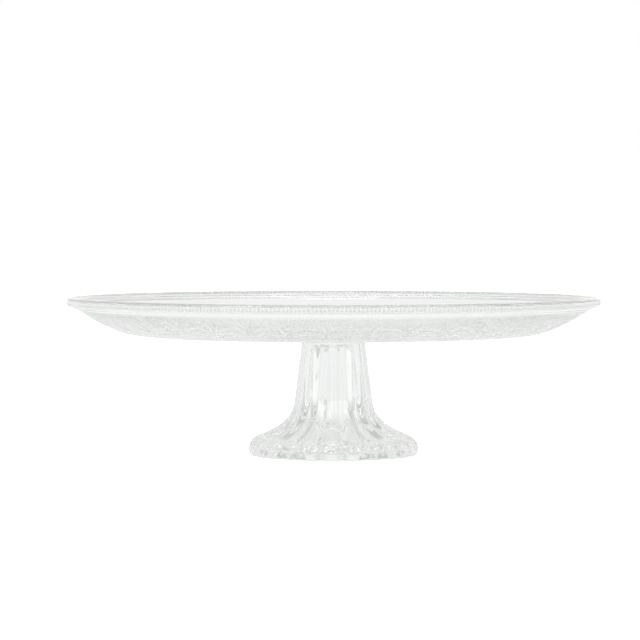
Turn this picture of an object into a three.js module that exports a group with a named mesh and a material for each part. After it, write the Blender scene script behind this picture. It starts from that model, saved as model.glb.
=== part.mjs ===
// A pressed-glass cake stand: a shallow round plate bonded onto a hollow, ribbed pedestal.
// Millimetres, +Z up. The origin is the centre of the ring that the foot rests on.

import * as THREE from 'three';

// ---- Driving dimensions: plate ----
const plateRadius = 150;            // outside of the rim
const plateUndersideHeight = 67.6;  // resting plane to the plate's flat underside
const plateDepth = 21.2;            // flat underside to the top of the rim
const plateFlatRadius = 108;        // flat part of the underside
const wellFlatRadius = 106;         // flat part of the upper side, where the cake stands
const wellFloorThickness = 4.8;
const rimEdgeRound = 1.4;           // radius of the rounded top edge of the rim
const rimBandHeight = 5;            // upright outer edge of the plate, rounded at its lower corner
const rimCornerRound = 2.6;
const rimLipOverhang = 3.2;         // how far the rim band stands out past the flange
const rimLipRise = 1.4;
const undersideSlope = 0.68;        // rise over run where the flange's underside meets the rim
const wellSlope = 0.62;             // rise over run where the upper side meets the rim

// ---- Driving dimensions: pedestal ----
const stemTopRadius = 17.3;
const stemFootRadius = 22.1;        // stem where it starts to flare into the foot
const stemFootHeight = 29.5;
const stemTaper = 0.13;             // widening of the stem per millimetre of height
const footRadius = 47.8;            // widest point of the foot, over the crests of the lobes
const footWidestHeight = 3.4;
const footShoulderInset = 6.8;      // widest point to where the flare turns into the foot edge
const footShoulderHeight = 11.75;
const footShoulderSlope = 2.6;      // run over rise at the shoulder
const footBottomRound = 2.2;        // width of the rounded lower corner of the foot
const lobeCount = 24;
const lobeDepthAtStem = 0.35;       // valleys between the lobes
const lobeDepthAtFoot = 1.5;
const lobeToeHeight = 6.5;          // below this height the valleys get shallower
const lobeToeShare = 0.2;           // part of their depth that is left at the resting plane

// ---- Driving dimensions: hollow of the pedestal ----
const pedestalTopThickness = 5.4;   // glass left above the hollow
const hollowTopRadius = 7.5;
const hollowTopRound = 2;
const hollowFlareRadius = 11;       // hollow where it starts to open out
const hollowFlareHeight = 33;
const hollowThroatHeight = 19;      // height that the narrow part of the hollow reaches down to
const footWallThickness = 8.4;      // glass under the shoulder of the foot
const footRingWidth = 4.1;          // flat ring that the stand rests on, at the lobes' valleys

// ---- Driving dimensions: bond ----
const bondThickness = 0.2;          // clear adhesive between pedestal and plate
const bondInset = 1.2;              // from the valleys of the lobes to the edge of the adhesive
const faceGap = 0.05;               // between two faces that meet

// ---- Fineness of the round surfaces ----
const plateSegments = 120;
const segmentsPerLobe = 6;
const bondSegments = 48;

// ---- Heights that follow from the sizes above ----
const rimTopHeight = plateUndersideHeight + plateDepth;
const wellFloorHeight = plateUndersideHeight + wellFloorThickness;
const bondBottomHeight = plateUndersideHeight - faceGap - bondThickness;
const pedestalTopHeight = bondBottomHeight - faceGap;
const hollowCeilingHeight = pedestalTopHeight - pedestalTopThickness;
const footShoulder = new THREE.Vector2(footRadius - footShoulderInset, footShoulderHeight);
const footFlareWidth = footShoulder.x - stemFootRadius;

// ---- Helpers ----

function point(radius, height) {
  return new THREE.Vector2(radius, height);
}

/** Points along a curve, without its first one, so that curves can be chained. */
function along(curve, steps) {
  return curve.getPoints(steps).slice(1);
}

/** Quarter of an ellipse from one point to another, leaving along the line to the corner. */
function rounded(from, corner, to, steps) {
  const kappa = 0.5523;
  const leave = from.clone().lerp(corner, kappa);
  const arrive = to.clone().lerp(corner, kappa);
  return along(new THREE.CubicBezierCurve(from, leave, arrive, to), steps);
}

/** Turns an outline about the Z axis. */
function turned(outline, segments) {
  const geometry = new THREE.LatheGeometry(outline, segments);
  geometry.rotateX(Math.PI / 2);
  return geometry;
}

function glass(colour) {
  return new THREE.MeshStandardMaterial({ color: colour, roughness: 0.05, metalness: 0 });
}

// ---- Plate ----

function plateOutline() {
  const bandBottomHeight = rimTopHeight - rimBandHeight;
  const bandFoot = point(plateRadius - rimCornerRound, bandBottomHeight);
  const flangeEnd = point(bandFoot.x - rimLipOverhang, bandFoot.y - rimLipRise);

  const undersideStart = point(plateFlatRadius, plateUndersideHeight);
  const undersideRun = (flangeEnd.y - plateUndersideHeight) / undersideSlope;
  const undersideTurn = point(flangeEnd.x - undersideRun, plateUndersideHeight);

  const bandTop = point(plateRadius, rimTopHeight - rimEdgeRound);
  const noseCentre = point(plateRadius - rimEdgeRound, rimTopHeight - rimEdgeRound);
  const noseEndAngle = Math.PI / 2 + Math.atan(wellSlope);
  const nose = new THREE.EllipseCurve(
    noseCentre.x, noseCentre.y, rimEdgeRound, rimEdgeRound, 0, noseEndAngle, false, 0);

  const wellEdge = nose.getPoint(1);
  const wellRun = (wellEdge.y - wellFloorHeight) / wellSlope;
  const wellTurn = point(wellEdge.x - wellRun, wellFloorHeight);
  const wellFloorEdge = point(wellFlatRadius, wellFloorHeight);

  return [
    point(0, plateUndersideHeight),
    undersideStart,
    ...along(new THREE.QuadraticBezierCurve(undersideStart, undersideTurn, flangeEnd), 7),
    bandFoot,
    ...rounded(bandFoot, point(plateRadius, bandFoot.y),
      point(plateRadius, bandFoot.y + rimCornerRound), 3),
    bandTop,
    ...along(nose, 4),
    ...along(new THREE.QuadraticBezierCurve(wellEdge, wellTurn, wellFloorEdge), 7),
    point(0, wellFloorHeight),
  ];
}

function makePlate() {
  const plate = new THREE.Mesh(turned(plateOutline(), plateSegments), glass(0xdfe6e1));
  plate.name = 'plate';
  return plate;
}

// ---- Pedestal ----

/** A point that lies this far out from another, on a line with the slope of the shoulder. */
function alongShoulder(from, run) {
  return point(from.x + run, from.y - run / footShoulderSlope);
}

/** Outside of the pedestal over the crests of the lobes, from the foot up. */
function pedestalCrestOutline() {
  const restingEdge = point(footRadius - footBottomRound, 0);
  const widest = point(footRadius, footWidestHeight);
  const shoulder = footShoulder;
  const stemFoot = point(stemFootRadius, stemFootHeight);
  const edgeTurn = point(
    footRadius - footShoulderInset * 0.06, shoulder.y - (shoulder.y - widest.y) * 0.33);
  const edgeArrive = alongShoulder(shoulder, footShoulderInset / 2);

  const flareHeight = stemFootHeight - footShoulderHeight;
  const flareLeave = alongShoulder(shoulder, -footFlareWidth * 0.45);
  const flareArrive = point(
    stemFoot.x + flareHeight * 0.53 * stemTaper, stemFoot.y - flareHeight * 0.53);

  return [
    restingEdge,
    ...rounded(restingEdge, point(footRadius, 0), widest, 3),
    ...along(new THREE.CubicBezierCurve(widest, edgeTurn, edgeArrive, shoulder), 4),
    ...along(new THREE.CubicBezierCurve(shoulder, flareLeave, flareArrive, stemFoot), 6),
    ...along(new THREE.LineCurve(stemFoot, point(stemTopRadius, pedestalTopHeight)), 3),
  ];
}

/** Inside of the pedestal, from the ceiling of the hollow down to the resting ring. */
function hollowOutline() {
  const ceilingEdge = point(hollowTopRadius - hollowTopRound, hollowCeilingHeight);
  const ceilingCorner = point(hollowTopRadius, hollowCeilingHeight);
  const wallTop = point(hollowTopRadius, hollowCeilingHeight - hollowTopRound);
  const flareStart = point(hollowFlareRadius, hollowFlareHeight);
  const ringInner = point(
    footRadius - footBottomRound - lobeDepthAtFoot * lobeToeShare - footRingWidth, 0);
  const throughShoulder = point(-1, -footShoulderSlope).setLength(footWallThickness);
  const mouth = footShoulder.clone().add(throughShoulder);
  const mouthCorner = alongShoulder(mouth, ringInner.x - mouth.x);
  const throat = point(hollowFlareRadius + 1, hollowThroatHeight);
  const underFlare = alongShoulder(mouth, -footFlareWidth * 0.65);

  return [
    ceilingEdge,
    ...rounded(ceilingEdge, ceilingCorner, wallTop, 2),
    flareStart,
    ...along(new THREE.CubicBezierCurve(flareStart, throat, underFlare, mouth), 6),
    ...rounded(mouth, mouthCorner, ringInner, 2),
  ];
}

/** How deep the valley between two lobes is, where the crests have this radius and height. */
function lobeDepth(crestRadius, height) {
  const share = (crestRadius - stemTopRadius) / (footRadius - stemTopRadius);
  const depth = THREE.MathUtils.lerp(lobeDepthAtStem, lobeDepthAtFoot, share);
  const rise = THREE.MathUtils.smoothstep(height, 0, lobeToeHeight);
  return depth * THREE.MathUtils.lerp(lobeToeShare, 1, rise);
}

/** Presses the lobes into the outer rows of the turned pedestal. */
function pressLobes(geometry, rowLength, firstRow, lastRow) {
  const position = geometry.attributes.position;
  const vertex = new THREE.Vector3();
  for (let index = 0; index < position.count; index += 1) {
    const row = index % rowLength;
    if (row < firstRow || row > lastRow) continue;
    vertex.fromBufferAttribute(position, index);
    const crestRadius = Math.hypot(vertex.x, vertex.y);
    const angle = Math.atan2(vertex.y, vertex.x);
    const lobe = Math.abs(Math.cos(angle * lobeCount / 2));
    const depth = lobeDepth(crestRadius, vertex.z) * (1 - lobe);
    const scale = 1 - depth / crestRadius;
    position.setXY(index, vertex.x * scale, vertex.y * scale);
  }
}

function makePedestal() {
  const inside = hollowOutline();
  const outside = pedestalCrestOutline();
  const outline = [
    point(0, hollowCeilingHeight),
    ...inside,
    ...outside,
    point(0, pedestalTopHeight),
  ];
  const geometry = turned(outline, lobeCount * segmentsPerLobe);
  const firstOutsideRow = 1 + inside.length;
  const lastOutsideRow = firstOutsideRow + outside.length - 1;
  pressLobes(geometry, outline.length, firstOutsideRow, lastOutsideRow);
  const pedestal = new THREE.Mesh(geometry, glass(0xdbe4de));
  pedestal.name = 'pedestal';
  return pedestal;
}

// ---- Bond ----

function makeBond() {
  const radius = stemTopRadius - lobeDepthAtStem - bondInset;
  const geometry = new THREE.CylinderGeometry(radius, radius, bondThickness, bondSegments);
  geometry.rotateX(Math.PI / 2);
  const bond = new THREE.Mesh(geometry, glass(0xf0f2ec));
  bond.position.z = bondBottomHeight + bondThickness / 2;
  bond.name = 'bond';
  return bond;
}

const cakeStand = new THREE.Group();
cakeStand.name = 'cake_stand';
cakeStand.add(makePlate(), makePedestal(), makeBond());

export default cakeStand;
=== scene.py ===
"""A pressed-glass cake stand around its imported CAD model: glass relief, glass, floor, light, camera."""
import math

import bpy
import numpy as np
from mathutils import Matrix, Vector


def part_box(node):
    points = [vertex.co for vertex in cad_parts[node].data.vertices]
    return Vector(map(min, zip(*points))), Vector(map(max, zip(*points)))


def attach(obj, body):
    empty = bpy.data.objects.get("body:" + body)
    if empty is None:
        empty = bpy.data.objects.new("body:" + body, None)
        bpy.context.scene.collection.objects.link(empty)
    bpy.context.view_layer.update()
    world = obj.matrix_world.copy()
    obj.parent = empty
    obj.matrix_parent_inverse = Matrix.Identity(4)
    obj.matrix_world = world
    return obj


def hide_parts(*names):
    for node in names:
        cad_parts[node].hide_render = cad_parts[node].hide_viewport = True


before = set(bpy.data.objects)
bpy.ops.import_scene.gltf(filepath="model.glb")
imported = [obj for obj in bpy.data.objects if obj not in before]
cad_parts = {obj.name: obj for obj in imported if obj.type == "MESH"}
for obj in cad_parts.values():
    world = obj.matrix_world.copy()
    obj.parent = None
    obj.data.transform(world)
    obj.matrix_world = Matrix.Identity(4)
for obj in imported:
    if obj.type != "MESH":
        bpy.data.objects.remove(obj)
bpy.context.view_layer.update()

MM = 0.001
TAU = 2 * math.pi

# ---- Sizes read from the frame, in millimetres ----

PLATE_LOW, PLATE_HIGH = (np.array(corner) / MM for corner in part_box("plate"))
PEDESTAL_HIGH = np.array(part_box("pedestal")[1]) / MM
BOND_LOW, BOND_HIGH = (np.array(corner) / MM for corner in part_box("bond"))

PLATE_RADIUS = PLATE_HIGH[0]
RIM_TOP = PLATE_HIGH[2]
UNDERSIDE = PLATE_LOW[2]
FOOT_RADIUS = PEDESTAL_HIGH[0]
PEDESTAL_TOP = PEDESTAL_HIGH[2]
BOND_RADIUS = BOND_HIGH[0]

# ---- Plate outline, in millimetres ----

FLAT_RADIUS = 108.0      # flat middle of the underside
WELL_RADIUS = 106.0      # flat floor of the well
WELL_FLOOR_THICKNESS = 4.8
WELL_FLOOR = UNDERSIDE + WELL_FLOOR_THICKNESS
RIM_ROUND = 1.4
BAND_HEIGHT = 5.0        # upright band of the rim
BAND_CORNER = 2.6
LIP_OVERHANG = 3.2       # how far the band stands out past the flange
LIP_RISE = 1.4
UNDERSIDE_SLOPE = 0.68
WELL_SLOPE = 0.62

# ---- Pedestal outline, in millimetres ----

STEM_TOP_RADIUS = 17.3
STEM_FOOT_RADIUS = 22.1
STEM_FOOT_HEIGHT = 29.5
STEM_TAPER = 0.13
FOOT_WIDEST_HEIGHT = 3.4
SHOULDER_INSET = 6.8
SHOULDER_HEIGHT = 11.75
SHOULDER_SLOPE = 2.6
FOOT_BOTTOM_ROUND = 2.2
LOBES = 24
LOBE_DEPTH_STEM = 0.35
LOBE_DEPTH_FOOT = 1.5
LOBE_TOE_HEIGHT = 6.5    # below this height the valleys get shallower
LOBE_TOE_SHARE = 0.2     # part of their depth that is left at the floor
TOP_THICKNESS = 5.4
HOLLOW_TOP_RADIUS = 7.5
HOLLOW_TOP_ROUND = 2.0
HOLLOW_FLARE_RADIUS = 11.0
HOLLOW_FLARE_HEIGHT = 33.0
HOLLOW_THROAT_HEIGHT = 19.0
FOOT_WALL = 8.4
FOOT_RING_WIDTH = 4.1

# Pull of the curves' handles, as shares of the stretch that each one rounds
EDGE_INSET_PULL = 0.06
EDGE_RISE_PULL = 0.33
FLARE_FOOT_PULL = 0.45
FLARE_STEM_PULL = 0.53
HOLLOW_MOUTH_PULL = 0.65

# ---- Pressed pattern ----

RIM_RIBS = 432           # fine ribs round the rim band and the narrow band under it
LACE_COLUMNS = 432       # columns of the fine lace on the flange
DIAMOND_HEIGHT = 2.1     # fine diamonds inside the arches
SEED_HEIGHT = 1.7        # finer ones outside them
FLANGE_LENGTH = 40.0     # length along the flange that the lace's sizes below count in
ARCH_START = 8.0
ARCH_RISE = 13.0
ARCH_LINE_WIDTH = 0.9
LEAF_START = 18.0
LEAF_LENGTH = 12.0
LEAF_SPREAD = 3.6
JEWEL_PLACE = 6.5
EYE_PLACE = 27.5
ARCHES = 36              # scalloped arches round the flange
PETALS = 24              # petals of the star under the well
STAR_INNER_RADIUS = 30.0
STAR_OUTER_RADIUS = 94.0
STAR_RIBS = 108          # ribs of the border round the star
RIB_DEPTH = 0.6
FAINT_RIB_DEPTH = 0.14
LACE_DEPTH = 0.3
ARCH_DEPTH = 0.55
STAR_DEPTH = 0.6
SEAM_DEPTH = 0.15
FULL_GROOVE_SHADE = 0.2        # depth from which the bottom of a groove has its full painted shade
FAINT_GROOVE_SHADE = 0.16        # part of that painted shade on the star and on the faint ribs
LACE_GROOVE_SHADE = 0.15         # part of that painted shade on the lace

# ---- Light ----

DOME_LEVELS = (          # share of the height from straight down to straight up, and brightness
    (0.0, 0.85), (0.42, 0.87), (0.48, 0.97), (0.55, 0.97), (0.62, 0.88), (0.7, 0.76), (0.8, 0.84),
    (1.0, 0.9))
SIDE_LEVELS = (          # share of the way from far left to far right, and brightness
    (0.0, 1.05), (0.1, 1.0), (0.17, 0.64), (0.3, 0.76), (0.4, 1.04), (0.62, 1.04), (0.7, 0.62),
    (0.83, 0.76), (0.9, 1.05))
DOME_WARMTH = 0.995      # blue of the dome as a share of its red and green
BACKDROP_LEVEL = 1.0     # sky that the camera sees
FLOOR_LIGHT = 1.45       # sky that lights the floor and other matt surfaces
FLOOR_GLOW = 0.7
LIGHT_BOUNCES = 64       # with half as many the plate turns dark

# ---- Glass ----

GLASS_IOR = 1.52
ABSORPTION_COLOUR = (0.86, 0.94, 0.87, 1)
ABSORPTION_DENSITY = 1.0
# grey that the bottoms of grooves take in each glass: painted shade
GROOVE_SHADE_LEVELS = {"plate": 0.42, "rim": 0.5, "pedestal": 0.93, "bond": 1.0}
RIM_CLEARNESS = 0.55     # share of the rim's light that passes through; the rest is diffuse


# ---- Outlines ----

def bezier(points, steps):
    """Points along a Bezier curve of any degree, without its first one."""
    points = np.array(points, float)
    share = np.arange(1, steps + 1)[:, None] / steps
    layer = [np.repeat(p[None], steps, 0) for p in points]
    while len(layer) > 1:
        layer = [a * (1 - share) + b * share for a, b in zip(layer, layer[1:])]
    return layer[0]


def rounded(start, corner, end, steps):
    """Quarter of an ellipse from one point to another, turning at the corner."""
    kappa = 0.5523
    start, corner, end = (np.array(p, float) for p in (start, corner, end))
    leave = start + (corner - start) * kappa
    arrive = end + (corner - end) * kappa
    return bezier([start, leave, arrive, end], steps)


def arc(centre, radius, start, end, steps):
    """Points along a circular arc, without its first one."""
    angles = start + (end - start) * np.arange(1, steps + 1) / steps
    return np.c_[centre[0] + radius * np.cos(angles), centre[1] + radius * np.sin(angles)]


def straight(start, end, steps):
    """Points along a line, without its first one."""
    return bezier([start, end], steps)


# ---- Turned surfaces with relief ----

class Turned:
    """Rings of points round the Z axis, each with its own number of points, skinned into one mesh."""

    def __init__(self):
        self.rings = []
        self.sides = []
        self.groove_shades = []
        self.slots = []
        self.slot = 0        # material slot of the rings that come next

    def pole(self, height, side):
        self.add_ring(np.array([[0.0, 0.0, height]]), side, np.zeros(1))

    def add_ring(self, points, side, groove_shade):
        self.rings.append(points)
        self.sides.append(side)
        self.groove_shades.append(groove_shade)
        self.slots.append(self.slot)

    def rows(self, outline, count, side, relief=None, tint=1.0):
        """Adds one ring for each outline point. relief(share, radius, height, angles) is cut in; tint is
        the share of painted shade in its grooves.
        """
        outline = np.array(outline, float)
        groove_shade_shares = np.broadcast_to(tint, len(outline))
        run = np.gradient(outline, axis=0) if len(outline) > 1 else np.array([[1.0, 0.0]])
        normal = np.c_[run[:, 1], -run[:, 0]]
        normal /= np.linalg.norm(normal, axis=1)[:, None]
        angles = np.arange(count) * TAU / count
        for row, (radius, height) in enumerate(outline):
            share = row / max(len(outline) - 1, 1)
            cut = np.zeros(count) if relief is None else relief(share, radius, height, angles)
            ring_radius = radius - cut * normal[row, 0]
            ring_height = height - cut * normal[row, 1]
            # painted shade: the deeper the cut, the darker the colour at that point
            groove_shade = groove_shade_shares[row] * cut / max(cut.max(), FULL_GROOVE_SHADE)
            self.add_ring(np.c_[ring_radius * np.cos(angles), ring_radius * np.sin(angles),
                                ring_height], side, groove_shade)

    def build(self, name):
        """Joins neighbouring rings with quads, or with a zip of triangles where counts differ."""
        starts = np.cumsum([0] + [len(ring) for ring in self.rings])
        faces = []
        sides = []
        slots = []
        for low in range(len(self.rings) - 1):
            made = zip_rings(len(self.rings[low]), len(self.rings[low + 1]),
                             int(starts[low]), int(starts[low + 1]))
            faces += made
            sides += [self.sides[low + 1]] * len(made)
            slots += [self.slots[low + 1]] * len(made)
        mesh = bpy.data.meshes.new(name)
        mesh.from_pydata(np.concatenate(self.rings) * MM, [], faces)
        mesh.shade_smooth()
        mesh.polygons.foreach_set("material_index", slots)
        # share of painted groove shade at each point, read by the glass
        groove_shade = mesh.attributes.new("groove_shade", "FLOAT", "POINT")
        groove_shade.data.foreach_set("value", np.concatenate(self.groove_shades))
        self.unwrap(mesh, np.array(sides), starts)
        mesh.validate()
        piece = bpy.data.objects.new(name, mesh)
        bpy.context.collection.objects.link(piece)
        return piece

    def unwrap(self, mesh, sides, starts):
        """Lays the outer side and the inner side out as two discs, by distance along the outline."""
        reach = np.zeros(len(self.rings))
        for row in range(1, len(self.rings)):
            before, here = self.rings[row - 1], self.rings[row]
            step = np.hypot(np.hypot(*here[0, :2]) - np.hypot(*before[0, :2]),
                            here[0, 2] - before[0, 2])
            reach[row] = reach[row - 1] + step
        turn = max(row for row, side in enumerate(self.sides) if side == 0)
        disc_share = [reach / max(reach[turn], 1e-6),
                      (reach[-1] - reach) / max(reach[-1] - reach[turn], 1e-6)]
        row_of = np.repeat(np.arange(len(self.rings)), [len(ring) for ring in self.rings])
        points = np.concatenate(self.rings)
        angle = np.arctan2(points[:, 1], points[:, 0])
        corner_vertex = np.zeros(len(mesh.loops), np.int32)
        mesh.loops.foreach_get("vertex_index", corner_vertex)
        totals = np.zeros(len(mesh.polygons), np.int32)
        mesh.polygons.foreach_get("loop_total", totals)
        corner_side = np.repeat(sides, totals)
        uv = np.zeros((len(mesh.loops), 2))
        for side in (0, 1):
            chosen = corner_side == side
            vertex = corner_vertex[chosen]
            radius = 0.24 * disc_share[side][row_of[vertex]]
            uv[chosen, 0] = 0.25 + 0.5 * side + radius * np.cos(angle[vertex])
            uv[chosen, 1] = 0.5 + radius * np.sin(angle[vertex])
        layer = mesh.uv_layers.new(name="OFBake")
        layer.data.foreach_set("uv", uv.ravel())


def zip_rings(low_count, high_count, low_start, high_start):
    """Faces between two rings, in the order that turns them outwards."""
    if low_count == 1:
        return [(low_start, high_start + (i + 1) % high_count, high_start + i)
                for i in range(high_count)]
    if high_count == 1:
        return [(low_start + i, low_start + (i + 1) % low_count, high_start)
                for i in range(low_count)]
    if low_count == high_count:
        return [(low_start + i, low_start + (i + 1) % low_count,
                 high_start + (i + 1) % low_count, high_start + i) for i in range(low_count)]
    faces = []
    low = high = 0
    while low < low_count or high < high_count:
        low_corner = low_start + low % low_count
        high_corner = high_start + high % high_count
        if (high + 1) * low_count <= (low + 1) * high_count:
            faces.append((low_corner, high_start + (high + 1) % high_count, high_corner))
            high += 1
        else:
            faces.append((low_corner, low_start + (low + 1) % low_count, high_corner))
            low += 1
    return faces


# ---- Relief of the plate, as depths cut into the glass in millimetres ----

def smooth_step(low, high, value):
    share = np.clip((value - low) / (high - low), 0, 1)
    return share * share * (3 - 2 * share)


def ribs(share, angles, depth):
    """Fine upright ribs that fade out at both edges of their band."""
    fade = smooth_step(0, 0.12, share) * smooth_step(1, 0.8, share)
    return depth * (1 - np.abs(np.cos(angles * RIM_RIBS / 2))) * fade


def rim_rib_relief(share, radius, height, angles):
    return ribs(share, angles, RIB_DEPTH)


def seam_relief(share, radius, height, angles):
    """Fine seam that the ring of the mould leaves near the top of the rim."""
    return SEAM_DEPTH * math.exp(-((share - 0.4) / 0.12) ** 2) * np.ones(len(angles))


def faint_rib_relief(share, radius, height, angles):
    return ribs(share, angles, FAINT_RIB_DEPTH)


def lace_relief(share, radius, height, angles):
    """Lace on the flange: arches with fine diamonds inside, finer diamonds above, leaves, eyes and jewels
    between.
    """
    along = share * FLANGE_LENGTH
    arch = (angles * ARCHES / TAU) % 1.0
    across = np.abs(arch - 0.5) * 2
    arch_width = TAU * radius / ARCHES

    arch_line = ARCH_START + ARCH_RISE * np.sqrt(np.clip(1 - across ** 2, 0, 1))
    from_arch = along - arch_line
    inside = smooth_step(0.8, -0.8, from_arch)
    on_arch = np.exp(-(from_arch / ARCH_LINE_WIDTH) ** 2)

    columns = angles * LACE_COLUMNS / 2
    diamonds = 0.5 + 0.5 * np.cos(columns) * np.cos(along * math.pi / DIAMOND_HEIGHT)
    seeds = 0.5 + 0.5 * np.cos(2 * columns) * np.cos(along * math.pi / SEED_HEIGHT)
    texture = inside * diamonds + (1 - inside) * seeds

    from_junction = np.minimum(arch, 1 - arch) * arch_width
    leaf_reach = np.clip((along - LEAF_START) / LEAF_LENGTH, 0, 1)
    leaf = np.exp(-((from_junction - LEAF_SPREAD * leaf_reach) / 0.8) ** 2)
    leaf *= smooth_step(17, 19, along) * smooth_step(31, 28, along)
    jewel = np.exp(-((from_junction / 1.5) ** 2 + ((along - JEWEL_PLACE) / 1.8) ** 2))
    eye = np.exp(-(((arch - 0.5) * arch_width / 1.6) ** 2 + ((along - EYE_PLACE) / 1.3) ** 2))

    plain = np.clip(on_arch + leaf + jewel + eye, 0, 1)
    depth = LACE_DEPTH * (1 - texture) * (1 - plain)
    depth += ARCH_DEPTH * np.clip(on_arch + leaf, 0, 1)
    fade = smooth_step(0, 0.03, share) * smooth_step(1, 0.97, share)
    return depth * fade


def star_relief(share, radius, height, angles):
    """Star of pointed petals under the well, inside a narrow band of ribs."""
    petal = (angles * PETALS / TAU) % 1.0
    across = np.abs(petal - 0.5) * 2
    star_length = STAR_OUTER_RADIUS - STAR_INNER_RADIUS
    reach = np.clip((radius - STAR_INNER_RADIUS) / star_length, 0, 1)
    half_width = np.sin(np.pi * reach) ** 0.8
    inside = smooth_step(-0.12, 0.12, half_width - across)
    facet = np.clip(across / np.maximum(half_width, 0.05), 0, 1)
    star = (1 - facet) * inside * smooth_step(STAR_INNER_RADIUS, STAR_INNER_RADIUS + 6, radius)
    star *= smooth_step(STAR_OUTER_RADIUS, STAR_OUTER_RADIUS - 4, radius)
    border = (1 - np.abs(np.cos(angles * STAR_RIBS / 2)))
    border *= smooth_step(97, 98.5, radius) * smooth_step(106, 104.5, radius)
    rings = np.exp(-((radius - 26) / 1.2) ** 2) + np.exp(-((radius - 95.5) / 1.0) ** 2)
    return STAR_DEPTH * np.clip(star + 0.4 * border + 0.8 * rings, 0, 1)


# ---- Plate ----

def make_plate():
    band_foot = np.array([PLATE_RADIUS - BAND_CORNER, RIM_TOP - BAND_HEIGHT])
    flange_end = band_foot - (LIP_OVERHANG, LIP_RISE)
    flange_start = np.array([FLAT_RADIUS, UNDERSIDE])
    turn_run = (flange_end[1] - UNDERSIDE) / UNDERSIDE_SLOPE
    flange_turn = np.array([flange_end[0] - turn_run, UNDERSIDE])
    lace = bezier([flange_start, flange_turn, flange_end], 38)

    corner_end = np.array([PLATE_RADIUS, band_foot[1] + BAND_CORNER])
    nose_centre = np.array([PLATE_RADIUS - RIM_ROUND, RIM_TOP - RIM_ROUND])
    nose_end = math.pi / 2 + math.atan(WELL_SLOPE)
    lip = bezier([flange_end, flange_end + (1.6, 0.4), band_foot], 6)
    corner = rounded(band_foot, (PLATE_RADIUS, band_foot[1]), corner_end, 8)
    band = np.concatenate([corner[4:], straight(corner_end, (PLATE_RADIUS, nose_centre[1]), 3)])
    nose = arc(nose_centre, RIM_ROUND, 0, nose_end, 8)
    well_run = (nose[-1][1] - WELL_FLOOR) / WELL_SLOPE
    well_turn = (nose[-1][0] - well_run, WELL_FLOOR)
    upper = bezier([nose[-1], well_turn, (WELL_RADIUS, WELL_FLOOR)], 14)

    plate = Turned()
    plate.pole(UNDERSIDE, 0)
    plate.rows([(r, UNDERSIDE) for r in (6, 12, 18)], 96, 0)
    star_radii = np.concatenate([np.linspace(22, 94, 25), np.linspace(95.5, 107, 8)])
    # the last argument of rows is the share of painted shade in the grooves of those rows
    plate.rows([(r, UNDERSIDE) for r in star_radii], 432, 0, star_relief, FAINT_GROOVE_SHADE)
    plate.rows(np.concatenate([[flange_start], lace]), LACE_COLUMNS * 3, 0, lace_relief,
               LACE_GROOVE_SHADE)
    plate.rows(lip, RIM_RIBS * 4, 0, faint_rib_relief, FAINT_GROOVE_SHADE)
    plate.rows(corner[:4], 864, 0)
    plate.slot = 1
    # painted shade in the rim's ribs, full at the foot of the band and fading to none at its top
    plate.rows(band, RIM_RIBS * 4, 0, rim_rib_relief, np.linspace(1, 0, len(band)) ** 2)
    plate.slot = 0
    plate.rows(nose, 432, 0, seam_relief)
    plate.rows(upper, 288, 1)
    plate.rows([(r, WELL_FLOOR) for r in (80, 50, 20)], 96, 1)
    plate.pole(WELL_FLOOR, 1)
    return plate.build("plate_glass")


# ---- Pedestal ----

def on_shoulder(start, run):
    return np.array([start[0] + run, start[1] - run / SHOULDER_SLOPE])


def lobe_relief(share, radius, height, angles):
    """Valleys between the convex lobes, deepest on the foot and shallow again on its lower edge."""
    widening = np.clip((radius - STEM_TOP_RADIUS) / (FOOT_RADIUS - STEM_TOP_RADIUS), 0, 1)
    depth = LOBE_DEPTH_STEM + (LOBE_DEPTH_FOOT - LOBE_DEPTH_STEM) * widening
    rise = smooth_step(0, LOBE_TOE_HEIGHT, height)
    depth *= LOBE_TOE_SHARE + (1 - LOBE_TOE_SHARE) * rise
    crest = np.sqrt(np.cos(angles * LOBES / 2) ** 2 + 0.004) / math.sqrt(1.004)
    return depth * (1 - crest)


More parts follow.
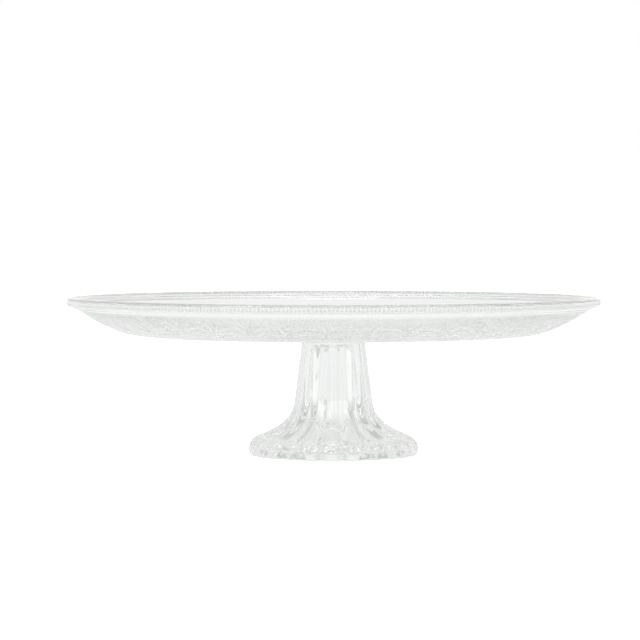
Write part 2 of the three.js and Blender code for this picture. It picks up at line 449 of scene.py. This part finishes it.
def make_pedestal():
    resting_edge = np.array([FOOT_RADIUS - FOOT_BOTTOM_ROUND, 0.0])
    widest = np.array([FOOT_RADIUS, FOOT_WIDEST_HEIGHT])
    shoulder = np.array([FOOT_RADIUS - SHOULDER_INSET, SHOULDER_HEIGHT])
    stem_foot = np.array([STEM_FOOT_RADIUS, STEM_FOOT_HEIGHT])
    edge_turn = (FOOT_RADIUS - SHOULDER_INSET * EDGE_INSET_PULL,
                 shoulder[1] - (shoulder[1] - widest[1]) * EDGE_RISE_PULL)
    edge_arrive = on_shoulder(shoulder, SHOULDER_INSET / 2)
    flare_width = shoulder[0] - STEM_FOOT_RADIUS
    flare_height = STEM_FOOT_HEIGHT - SHOULDER_HEIGHT
    flare_leave = on_shoulder(shoulder, -flare_width * FLARE_FOOT_PULL)
    flare_arrive = (stem_foot[0] + flare_height * FLARE_STEM_PULL * STEM_TAPER,
                    stem_foot[1] - flare_height * FLARE_STEM_PULL)

    ceiling = PEDESTAL_TOP - TOP_THICKNESS
    wall_top = np.array([HOLLOW_TOP_RADIUS, ceiling - HOLLOW_TOP_ROUND])
    ceiling_edge = np.array([HOLLOW_TOP_RADIUS - HOLLOW_TOP_ROUND, ceiling])
    flare_start = np.array([HOLLOW_FLARE_RADIUS, HOLLOW_FLARE_HEIGHT])
    ring_inner = np.array(
        [resting_edge[0] - LOBE_DEPTH_FOOT * LOBE_TOE_SHARE - FOOT_RING_WIDTH, 0.0])
    inward = np.array([-1, -SHOULDER_SLOPE]) / math.hypot(1, SHOULDER_SLOPE)
    mouth = shoulder + FOOT_WALL * inward
    mouth_corner = on_shoulder(mouth, ring_inner[0] - mouth[0])
    throat = (HOLLOW_FLARE_RADIUS + 1, HOLLOW_THROAT_HEIGHT)
    under_flare = on_shoulder(mouth, -flare_width * HOLLOW_MOUTH_PULL)

    pedestal = Turned()
    pedestal.pole(ceiling, 1)
    pedestal.rows([(ceiling_edge[0] / 2, ceiling), ceiling_edge], 96, 1)
    pedestal.rows(rounded(ceiling_edge, (HOLLOW_TOP_RADIUS, ceiling), wall_top, 5), 96, 1)
    pedestal.rows(straight(wall_top, flare_start, 6), 96, 1)
    pedestal.rows(bezier([flare_start, throat, under_flare, mouth], 20), 192, 1)
    pedestal.rows(rounded(mouth, mouth_corner, ring_inner, 7), 192, 1)
    outside = np.concatenate([
        [resting_edge],
        rounded(resting_edge, (FOOT_RADIUS, 0), widest, 8),
        bezier([widest, edge_turn, edge_arrive, shoulder], 14),
        bezier([shoulder, flare_leave, flare_arrive, stem_foot], 26),
        straight(stem_foot, (STEM_TOP_RADIUS, PEDESTAL_TOP), 12)])
    pedestal.rows(outside, LOBES * 16, 0, lobe_relief)
    pedestal.rows([(r, PEDESTAL_TOP) for r in (14, 7)], 96, 0)
    pedestal.pole(PEDESTAL_TOP, 0)
    return pedestal.build("pedestal_glass")


# ---- Bond ----

def make_bond():
    low, high = BOND_LOW[2], BOND_HIGH[2]
    bulge = (high - low) / 2
    film = Turned()
    film.pole(low, 0)
    film.rows([(r, low) for r in (5, 10, BOND_RADIUS - bulge)], 96, 0)
    film.rows(arc((BOND_RADIUS - bulge, low + bulge), bulge, -math.pi / 2, math.pi / 2, 6), 96, 0)
    film.rows([(r, high) for r in (10, 5)], 96, 1)
    film.pole(high, 1)
    return film.build("bond_film")


# ---- Materials ----

def new_material(name):
    material = bpy.data.materials.new(name)
    material.use_nodes = True
    return material, material.node_tree.nodes, material.node_tree.links


def noise(nodes, links, scale, detail):
    place = nodes.new("ShaderNodeTexCoord")
    texture = nodes.new("ShaderNodeTexNoise")
    texture.inputs["Scale"].default_value = scale
    texture.inputs["Detail"].default_value = detail
    links.new(place.outputs["Object"], texture.inputs["Vector"])
    return texture.outputs["Fac"]


def ramp(nodes, links, source, low, high):
    blend = nodes.new("ShaderNodeValToRGB")
    blend.color_ramp.elements[0].position = 0.3
    blend.color_ramp.elements[0].color = (*low, 1)
    blend.color_ramp.elements[1].position = 0.7
    blend.color_ramp.elements[1].color = (*high, 1)
    links.new(source, blend.inputs["Fac"])
    return blend.outputs["Color"]


def spread(nodes, links, source, low, high):
    scale = nodes.new("ShaderNodeMapRange")
    scale.inputs["From Min"].default_value = 0.3
    scale.inputs["From Max"].default_value = 0.7
    scale.inputs["To Min"].default_value = low
    scale.inputs["To Max"].default_value = high
    links.new(source, scale.inputs["Value"])
    return scale.outputs["Result"]


def glass(name, waviness_mm, grain_mm, groove_shade_level, clearness=1.0):
    """Soda-lime glass with the soft waviness and fine grain of a steel mould, with painted shade in its
    grooves.
    """
    material, nodes, links = new_material(name)
    shader = nodes["Principled BSDF"]
    shader.inputs["Transmission Weight"].default_value = clearness
    shader.inputs["IOR"].default_value = GLASS_IOR
    tint = ramp(nodes, links, noise(nodes, links, 14, 2), (0.978, 0.99, 0.982), (0.99, 1, 0.992))
    # painted shade: the grooves' colour is mixed towards a grey by their depth
    groove_shade = nodes.new("ShaderNodeAttribute")
    groove_shade.attribute_name = "groove_shade"
    tint = choose(nodes, links, groove_shade.outputs["Fac"], tint, groove_shade_level)
    links.new(tint, shader.inputs["Base Color"])
    polish = spread(nodes, links, noise(nodes, links, 55, 3), 0.0, 0.035)
    links.new(polish, shader.inputs["Roughness"])
    normal = None
    for size, depth in ((9, waviness_mm), (0.9, grain_mm)):
        bump = nodes.new("ShaderNodeBump")
        bump.inputs["Strength"].default_value = 1
        bump.inputs["Distance"].default_value = depth * MM
        links.new(noise(nodes, links, 1 / (size * MM), 2), bump.inputs["Height"])
        if normal is not None:
            links.new(normal, bump.inputs["Normal"])
        normal = bump.outputs["Normal"]
    links.new(normal, shader.inputs["Normal"])
    volume = nodes.new("ShaderNodeVolumeAbsorption")
    volume.inputs["Color"].default_value = ABSORPTION_COLOUR
    volume.inputs["Density"].default_value = ABSORPTION_DENSITY
    links.new(volume.outputs["Volume"], nodes["Material Output"].inputs["Volume"])
    return material


def floor_material():
    material, nodes, links = new_material("pale_floor")
    shader = nodes["Principled BSDF"]
    tone = ramp(nodes, links, noise(nodes, links, 3, 2), (0.13,) * 3, (0.15,) * 3)
    shader.inputs["Roughness"].default_value = 0.9
    shader.inputs["Specular IOR Level"].default_value = 0.1
    rays = nodes.new("ShaderNodeLightPath")
    white = choose(nodes, links, rays.outputs["Is Camera Ray"], tone, 0.95)
    links.new(white, shader.inputs["Base Color"])
    shader.inputs["Emission Color"].default_value = (1, 1, 1, 1)
    shader.inputs["Emission Strength"].default_value = FLOOR_GLOW
    return material


# ---- Stage ----

def make_floor():
    bpy.ops.mesh.primitive_plane_add(size=40)
    floor = bpy.context.object
    floor.name = "floor"
    floor.data.materials.append(floor_material())


def make_world():
    """White backdrop, a bright dome for the floor, and a pale dome with dimmer zones for the glass."""
    world = bpy.data.worlds.new("studio")
    bpy.context.scene.world = world
    world.use_nodes = True
    nodes, links = world.node_tree.nodes, world.node_tree.links
    direction = nodes.new("ShaderNodeTexCoord")
    split = nodes.new("ShaderNodeSeparateXYZ")
    links.new(direction.outputs["Generated"], split.inputs["Vector"])
    dome = zones(nodes, links, split.outputs["Z"], DOME_LEVELS)
    sides = zones(nodes, links, split.outputs["X"], SIDE_LEVELS)
    both = nodes.new("ShaderNodeMix")
    both.data_type = "RGBA"
    both.blend_type = "MULTIPLY"
    both.inputs["Factor"].default_value = 1
    links.new(dome, both.inputs["A"])
    links.new(sides, both.inputs["B"])

    rays = nodes.new("ShaderNodeLightPath")
    seen = choose(nodes, links, rays.outputs["Is Camera Ray"], both.outputs["Result"], BACKDROP_LEVEL)
    lit = choose(nodes, links, rays.outputs["Diffuse Depth"], seen, FLOOR_LIGHT)
    links.new(lit, nodes["Background"].inputs["Color"])


def zones(nodes, links, source, levels):
    """Brightness levels spread over one direction of the sky, from -1 to 1."""
    share = nodes.new("ShaderNodeMapRange")
    share.inputs["From Min"].default_value = -1
    links.new(source, share.inputs["Value"])
    blend = nodes.new("ShaderNodeValToRGB")
    blend.color_ramp.interpolation = "EASE"
    elements = blend.color_ramp.elements
    while len(elements) < len(levels):
        elements.new(0.5)
    for element, (position, level) in zip(elements, levels):
        element.position = position
        element.color = (level, level, level * DOME_WARMTH, 1)
    links.new(share.outputs["Result"], blend.inputs["Fac"])
    return blend.outputs["Color"]


def choose(nodes, links, flag, colour, level):
    """The colour, or a plain grey level where the flag is set."""
    mix = nodes.new("ShaderNodeMix")
    mix.data_type = "RGBA"
    links.new(flag, mix.inputs["Factor"])
    links.new(colour, mix.inputs["A"])
    mix.inputs["B"].default_value = (level, level, level, 1)
    return mix.outputs["Result"]


def softbox(name, place, aim, width, height, power):
    light = bpy.data.lights.new(name, "AREA")
    light.shape = "RECTANGLE"
    light.size, light.size_y = width, height
    light.energy = power
    lamp = bpy.data.objects.new(name, light)
    lamp.location = place
    lamp.rotation_euler = (Vector(aim) - Vector(place)).to_track_quat("-Z", "Y").to_euler()
    bpy.context.collection.objects.link(lamp)


def make_camera():
    distance = 1.687
    camera_height = 0.136
    aim_height = 0.0759
    left_of_axis = 0.0076
    turn = math.radians(1.5)
    camera_data = bpy.data.cameras.new("camera")
    camera_data.sensor_width = 36
    camera_data.lens = 168.75
    camera_data.clip_end = 100
    camera = bpy.data.objects.new("camera", camera_data)
    camera.location = (distance * math.sin(turn) - left_of_axis * math.cos(turn),
                       -distance * math.cos(turn) - left_of_axis * math.sin(turn), camera_height)
    pitch = math.atan2(camera_height - aim_height, distance)
    camera.rotation_euler = (math.pi / 2 - pitch, 0, turn)
    bpy.context.collection.objects.link(camera)
    bpy.context.scene.camera = camera


# ---- The stand ----

make_camera()
plate = make_plate()
pedestal = make_pedestal()
bond = make_bond()

# each glass gets its own grey of painted shade for the bottoms of its grooves
for piece, node, material in (
        (plate, "plate", glass("plate_pressed_glass", 0.03, 0.002, GROOVE_SHADE_LEVELS["plate"])),
        (pedestal, "pedestal",
         glass("pedestal_pressed_glass", 0.012, 0.0004, GROOVE_SHADE_LEVELS["pedestal"])),
        (bond, "bond", glass("bond_adhesive", 0.01, 0.002, GROOVE_SHADE_LEVELS["bond"]))):
    piece.data.materials.append(material)
    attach(piece, "root")
    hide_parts(node)
plate.data.materials.append(
    glass("rim_ribbed_glass", 0.0, 0.0, GROOVE_SHADE_LEVELS["rim"], RIM_CLEARNESS))

make_floor()
make_world()
softbox("key", (-0.9, -0.9, 1.3), (0, 0, 0.07), 0.4, 0.8, 4)
softbox("fill", (1.2, -0.5, 0.9), (0, 0, 0.07), 0.2, 0.6, 2)
softbox("strip", (0, 0.85, 1.3), (0, 0.13, 0.08), 0.22, 0.022, 0.03)
bpy.context.scene.view_settings.view_transform = "Standard"
bpy.context.scene.cycles.max_bounces = LIGHT_BOUNCES
bpy.context.scene.cycles.transmission_bounces = LIGHT_BOUNCES
bpy.context.scene.cycles.glossy_bounces = LIGHT_BOUNCES
